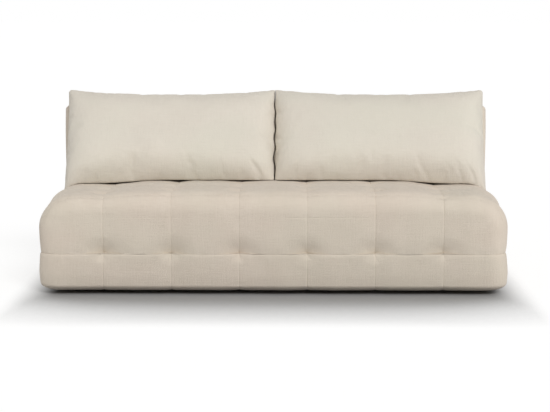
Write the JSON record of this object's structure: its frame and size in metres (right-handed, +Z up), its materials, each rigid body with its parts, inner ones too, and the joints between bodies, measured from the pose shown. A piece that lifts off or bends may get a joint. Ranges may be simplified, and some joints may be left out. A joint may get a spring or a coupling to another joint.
{
  "type": "click clack sofa bed",
  "caption": "Armless upholstered sofa bed with a biscuit-tufted seat that lifts off a bedding box, a backrest that clicks down flat on ratchet hinges, and loose back cushions.",
  "frame": {"origin": "on the floor, under the middle of the whole sofa as it stands with the backrest up", "axes": "+X to the right as seen by someone facing the sofa, along its width; +Y to the rear, so the front faces -Y; +Z up"},
  "size_m": [2, 1.0358, 0.8396],
  "materials": {
    "cover_fabric": "matte",
    "foam": "matte",
    "lining_fabric": "matte",
    "frame_wood": "matte",
    "box_board": "matte",
    "painted_steel": "satin",
    "zinc_steel": "satin",
    "foot_plastic": "matte"
  },
  "bodies": {
    "base": {"hinge_plate_right": "painted_steel", "hinge_plate_left": "painted_steel", "hinge_batten_right": "frame_wood", "hinge_batten_left": "frame_wood", "lift_spring_right": "zinc_steel", "lift_spring_left": "zinc_steel", "base_front_panel": "box_board", "base_rear_panel": "box_board", "base_side_panel_right": "box_board", "base_side_panel_left": "box_board", "base_floor_panel": "box_board", "storage_rear_wall": "box_board", "base_rear_deck": "box_board", "storage_divider": "box_board", "front_corner_block_right": "frame_wood", "front_corner_block_left": "frame_wood", "base_front_cover": "cover_fabric", "base_side_cover_right": "cover_fabric", "base_side_cover_left": "cover_fabric", "base_rear_lining": "lining_fabric", "front_foot_right": "foot_plastic", "front_foot_left": "foot_plastic", "front_centre_foot": "foot_plastic", "rear_foot_right": "foot_plastic", "rear_foot_left": "foot_plastic", "rear_centre_foot": "foot_plastic"},
    "seat": {"seat_side_rail_right": "frame_wood", "seat_side_rail_left": "frame_wood", "seat_front_rail": "frame_wood", "seat_rear_rail": "frame_wood", "seat_centre_rail": "frame_wood", "seat_slat_1": "frame_wood", "seat_slat_2": "frame_wood", "seat_slat_3": "frame_wood", "seat_slat_4": "frame_wood", "seat_slat_5": "frame_wood", "seat_slat_6": "frame_wood", "seat_slat_7": "frame_wood", "seat_cover": "cover_fabric", "seat_foam": "foam", "seat_arm_right": "painted_steel", "seat_arm_left": "painted_steel", "pivot_bolt_right": "zinc_steel", "pivot_bolt_left": "zinc_steel"},
    "backrest": {"back_arm_right": "painted_steel", "back_arm_left": "painted_steel", "back_outer_stile_right": "frame_wood", "back_outer_stile_left": "frame_wood", "back_inner_stile_right": "frame_wood", "back_inner_stile_left": "frame_wood", "back_bottom_rail": "frame_wood", "back_top_rail": "frame_wood", "back_board": "box_board", "back_cover": "cover_fabric", "back_foam": "foam"},
    "cushion_left": {"back_cushion_left": "cover_fabric"},
    "cushion_right": {"back_cushion_right": "cover_fabric"},
    "pawl_left": {"ratchet_pawl_left": "zinc_steel"},
    "pawl_right": {"ratchet_pawl_right": "zinc_steel"}
  },
  "joints": [
    {"name": "seat_lift", "type": "hinge", "parent": "base", "child": "seat", "pos_m": [0, 0.35613, 0.335], "axis": [-1, 0, 0], "range_deg": [0, 30], "deforming": ["lift_spring_left", "lift_spring_right"]},
    {"name": "backrest_recline", "type": "hinge", "parent": "seat", "child": "backrest", "pos_m": [0, 0.35613, 0.335], "axis": [-1, 0, 0], "range_deg": [0, 78]},
    {"name": "cushion_left_lift", "type": "slide", "parent": "backrest", "child": "cushion_left", "axis": [0, -0.5446, 0.8387], "range_m": [0, 0.5]},
    {"name": "cushion_right_lift", "type": "slide", "parent": "backrest", "child": "cushion_right", "axis": [0, -0.5446, 0.8387], "range_m": [0, 0.5]},
    {"name": "pawl_left", "type": "hinge", "parent": "seat", "child": "pawl_left", "pos_m": [-0.9322, 0.32226, 0.27633], "axis": [1, 0, 0], "range_deg": [0, 10]},
    {"name": "pawl_right", "type": "hinge", "parent": "seat", "child": "pawl_right", "pos_m": [0.9322, 0.32226, 0.27633], "axis": [1, 0, 0], "range_deg": [0, 10]}
  ]
}
